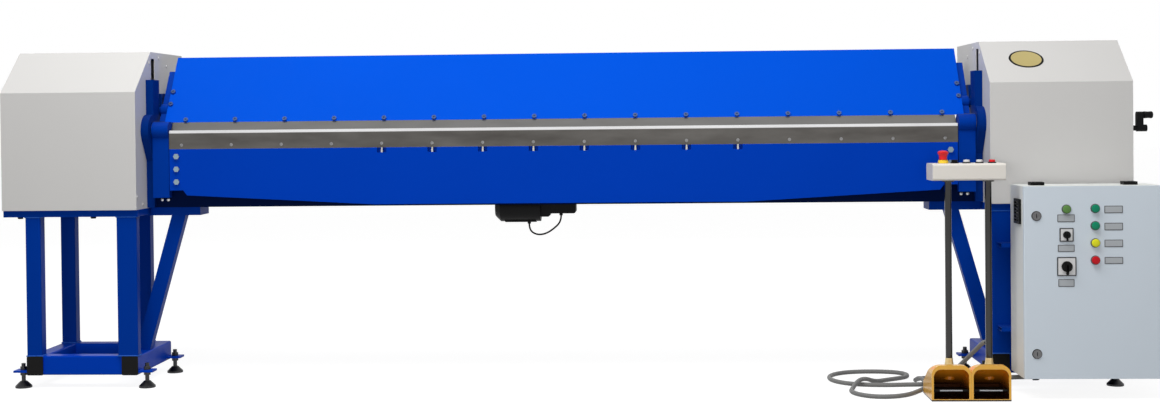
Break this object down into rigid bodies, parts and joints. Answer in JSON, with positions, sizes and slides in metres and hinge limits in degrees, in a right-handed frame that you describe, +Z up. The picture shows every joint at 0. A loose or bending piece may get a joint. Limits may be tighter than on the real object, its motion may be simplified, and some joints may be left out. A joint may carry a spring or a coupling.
{
  "type": "electric sheet metal folder",
  "caption": "Motor-driven sheet metal folder on two stands: lifting clamp beam, swinging folding beam, side gear housings, switch cabinet and foot pendant on a conduit.",
  "frame": {"origin": "on the floor under the middle of the whole machine's bounding box, the free hose and motor cable left out", "axes": "+X along the blades to the operator's right, where the switch cabinet stands; +Y away from the operator; +Z up"},
  "size_m": [4.493, 0.87, 1.327],
  "materials": {
    "blue_paint": "semi-gloss blue paint",
    "navy_paint": "semi-gloss dark blue paint",
    "housing_paint": "light grey powder coat",
    "cabinet_paint": "textured cool grey powder coat",
    "box_paint": "warm grey enamel",
    "hood_paint": "yellow enamel",
    "blade_steel": "ground steel",
    "bright_steel": "zinc-plated or turned steel",
    "drive_black": "black enamel on cast housings",
    "drive_grey": "grey enamel on cast iron",
    "post_chrome": "polished steel tube",
    "black_plastic": "black moulded plastic",
    "dark_rubber": "black rubber",
    "hose_grey": "grey corrugated conduit",
    "bush_bronze": "bronze",
    "red_plastic": "red plastic",
    "white_plastic": "white plastic",
    "collar_plastic": "yellow and metal collars",
    "panel_plastic": "lamp and switch plastic"
  },
  "bodies": {
    "machine": {"stand_bases": "navy_paint", "tube_end_caps": "black_plastic", "stand_legs": "navy_paint", "stand_tops": "navy_paint", "levelling_feet": "bright_steel", "left_side_frame": "navy_paint", "right_side_frame": "navy_paint", "hinge_bushes": "bush_bronze", "left_housing": "housing_paint", "right_housing": "housing_paint", "housing_back_panels": "housing_paint", "bed_beam": "navy_paint", "bed_blade": "blade_steel", "screw_jacks": "drive_grey", "clamp_gearmotor": "drive_black", "left_fold_gearmotor": "drive_grey", "right_fold_gearmotor": "drive_grey", "cabinet_body": "cabinet_paint", "door_hinges": "cabinet_paint", "switchgear": "panel_plastic", "cabinet_rails": "navy_paint", "cabinet_fittings": "black_plastic", "control_box": "box_paint", "pendant_posts": "post_chrome", "pedal_housings": "hood_paint", "button_collars": "collar_plastic", "pendant_hose": "hose_grey", "motor_cable": "dark_rubber"},
    "upper_beam": {"upper_beam": "blue_paint", "left_lift_plate": "navy_paint", "right_lift_plate": "navy_paint", "clamping_blade": "blade_steel", "clamping_screws": "bright_steel", "lift_nuts": "bush_bronze"},
    "left_lift_screw": {"left_lift_screw": "bright_steel"},
    "right_lift_screw": {"right_lift_screw": "bright_steel"},
    "cross_shaft": {"cross_shaft": "bright_steel"},
    "folding_beam": {"folding_beam": "blue_paint", "bending_blade": "blade_steel", "left_hinge_arm": "navy_paint", "right_hinge_arm": "navy_paint", "hinge_shafts": "bright_steel", "bending_screws": "bright_steel", "crown_screws": "bright_steel", "apron_bolts": "bright_steel"},
    "crank_arm": {"crank_arm": "black_plastic"},
    "crank_grip": {"crank_grip": "black_plastic"},
    "cabinet_door": {"cabinet_door": "cabinet_paint", "panel_fittings": "panel_plastic"},
    "upper_door_lock": {"upper_door_lock": "bright_steel"},
    "lower_door_lock": {"lower_door_lock": "bright_steel"},
    "main_switch_knob": {"main_switch_knob": "black_plastic"},
    "selector_knob": {"selector_knob": "black_plastic"},
    "left_treadle": {"left_treadle": "dark_rubber"},
    "right_treadle": {"right_treadle": "dark_rubber"},
    "estop_button": {"estop_button": "red_plastic"},
    "black_button": {"black_button": "black_plastic"},
    "left_white_button": {"left_white_button": "white_plastic"},
    "right_white_button": {"right_white_button": "white_plastic"},
    "red_button": {"red_button": "red_plastic"}
  },
  "joints": [
    {"name": "beam_lift", "type": "slide", "parent": "machine", "child": "upper_beam", "axis": [0, 0, 1], "range_m": [0, 0.18]},
    {"name": "right_screw_turn", "type": "hinge", "parent": "machine", "child": "right_lift_screw", "pos_m": [1.6595, 0.2, 0.735], "axis": [0, 0, 1], "range_deg": [-6481, 0]},
    {"name": "left_screw_turn", "type": "hinge", "parent": "machine", "child": "left_lift_screw", "pos_m": [-1.7805, 0.2, 0.735], "axis": [0, 0, 1], "range_deg": [0, 6481]},
    {"name": "cross_shaft_turn", "type": "hinge", "parent": "machine", "child": "cross_shaft", "pos_m": [-0.0605, 0.2, 0.735], "axis": [1, 0, 0], "range_deg": [-6481, 0]},
    {"name": "fold", "type": "hinge", "parent": "machine", "child": "folding_beam", "pos_m": [-0.0605, -0.035, 1.01], "axis": [-1, 0, 0], "range_deg": [0, 135]},
    {"name": "crank_turn", "type": "hinge", "parent": "machine", "child": "crank_arm", "pos_m": [2.1965, -0.01, 0.983], "axis": [1, 0, 0], "continuous": true},
    {"name": "grip_turn", "type": "hinge", "parent": "crank_arm", "child": "crank_grip", "pos_m": [2.2275, -0.01, 1.034], "axis": [1, 0, 0], "continuous": true},
    {"name": "door_swing", "type": "hinge", "parent": "machine", "child": "cabinet_door", "pos_m": [2.1565, -0.4, 0.428], "axis": [0, 0, 1], "range_deg": [0, 120]},
    {"name": "upper_lock_turn", "type": "hinge", "parent": "cabinet_door", "child": "upper_door_lock", "pos_m": [1.6945, -0.398, 0.671], "axis": [0, -1, 0], "range_deg": [0, 90]},
    {"name": "lower_lock_turn", "type": "hinge", "parent": "cabinet_door", "child": "lower_door_lock", "pos_m": [1.6945, -0.398, 0.169], "axis": [0, -1, 0], "range_deg": [0, 90]},
    {"name": "main_switch_turn", "type": "hinge", "parent": "cabinet_door", "child": "main_switch_knob", "pos_m": [1.8015, -0.425, 0.487], "axis": [0, 1, 0], "range_deg": [0, 90]},
    {"name": "selector_turn", "type": "hinge", "parent": "cabinet_door", "child": "selector_knob", "pos_m": [1.8015, -0.425, 0.602], "axis": [0, 1, 0], "range_deg": [0, 60]},
    {"name": "left_treadle_press", "type": "hinge", "parent": "machine", "child": "left_treadle", "pos_m": [1.382, -0.285, 0.019], "axis": [1, 0, 0], "range_deg": [0, 6.8], "stiffness_Nm_per_rad": 12, "springref_deg": -22.92},
    {"name": "right_treadle_press", "type": "hinge", "parent": "machine", "child": "right_treadle", "pos_m": [1.5253, -0.285, 0.019], "axis": [1, 0, 0], "range_deg": [0, 6.8], "stiffness_Nm_per_rad": 12, "springref_deg": -22.92},
    {"name": "estop_press", "type": "slide", "parent": "machine", "child": "estop_button", "axis": [0, 0, -1], "range_m": [0, 0.005], "stiffness_N_per_m": 2000, "springref_m": -0.005},
    {"name": "black_button_press", "type": "slide", "parent": "machine", "child": "black_button", "axis": [0, 0, -1], "range_m": [0, 0.004], "stiffness_N_per_m": 800, "springref_m": -0.004},
    {"name": "left_white_button_press", "type": "slide", "parent": "machine", "child": "left_white_button", "axis": [0, 0, -1], "range_m": [0, 0.004], "stiffness_N_per_m": 800, "springref_m": -0.004},
    {"name": "right_white_button_press", "type": "slide", "parent": "machine", "child": "right_white_button", "axis": [0, 0, -1], "range_m": [0, 0.004], "stiffness_N_per_m": 800, "springref_m": -0.004},
    {"name": "red_button_press", "type": "slide", "parent": "machine", "child": "red_button", "axis": [0, 0, -1], "range_m": [0, 0.004], "stiffness_N_per_m": 800, "springref_m": -0.004}
  ],
  "couplings": [
    {"joint": "right_screw_turn", "follows": "beam_lift", "rad_per_m": -628.32},
    {"joint": "left_screw_turn", "follows": "beam_lift", "rad_per_m": 628.32},
    {"joint": "cross_shaft_turn", "follows": "beam_lift", "rad_per_m": -628.32}
  ]
}
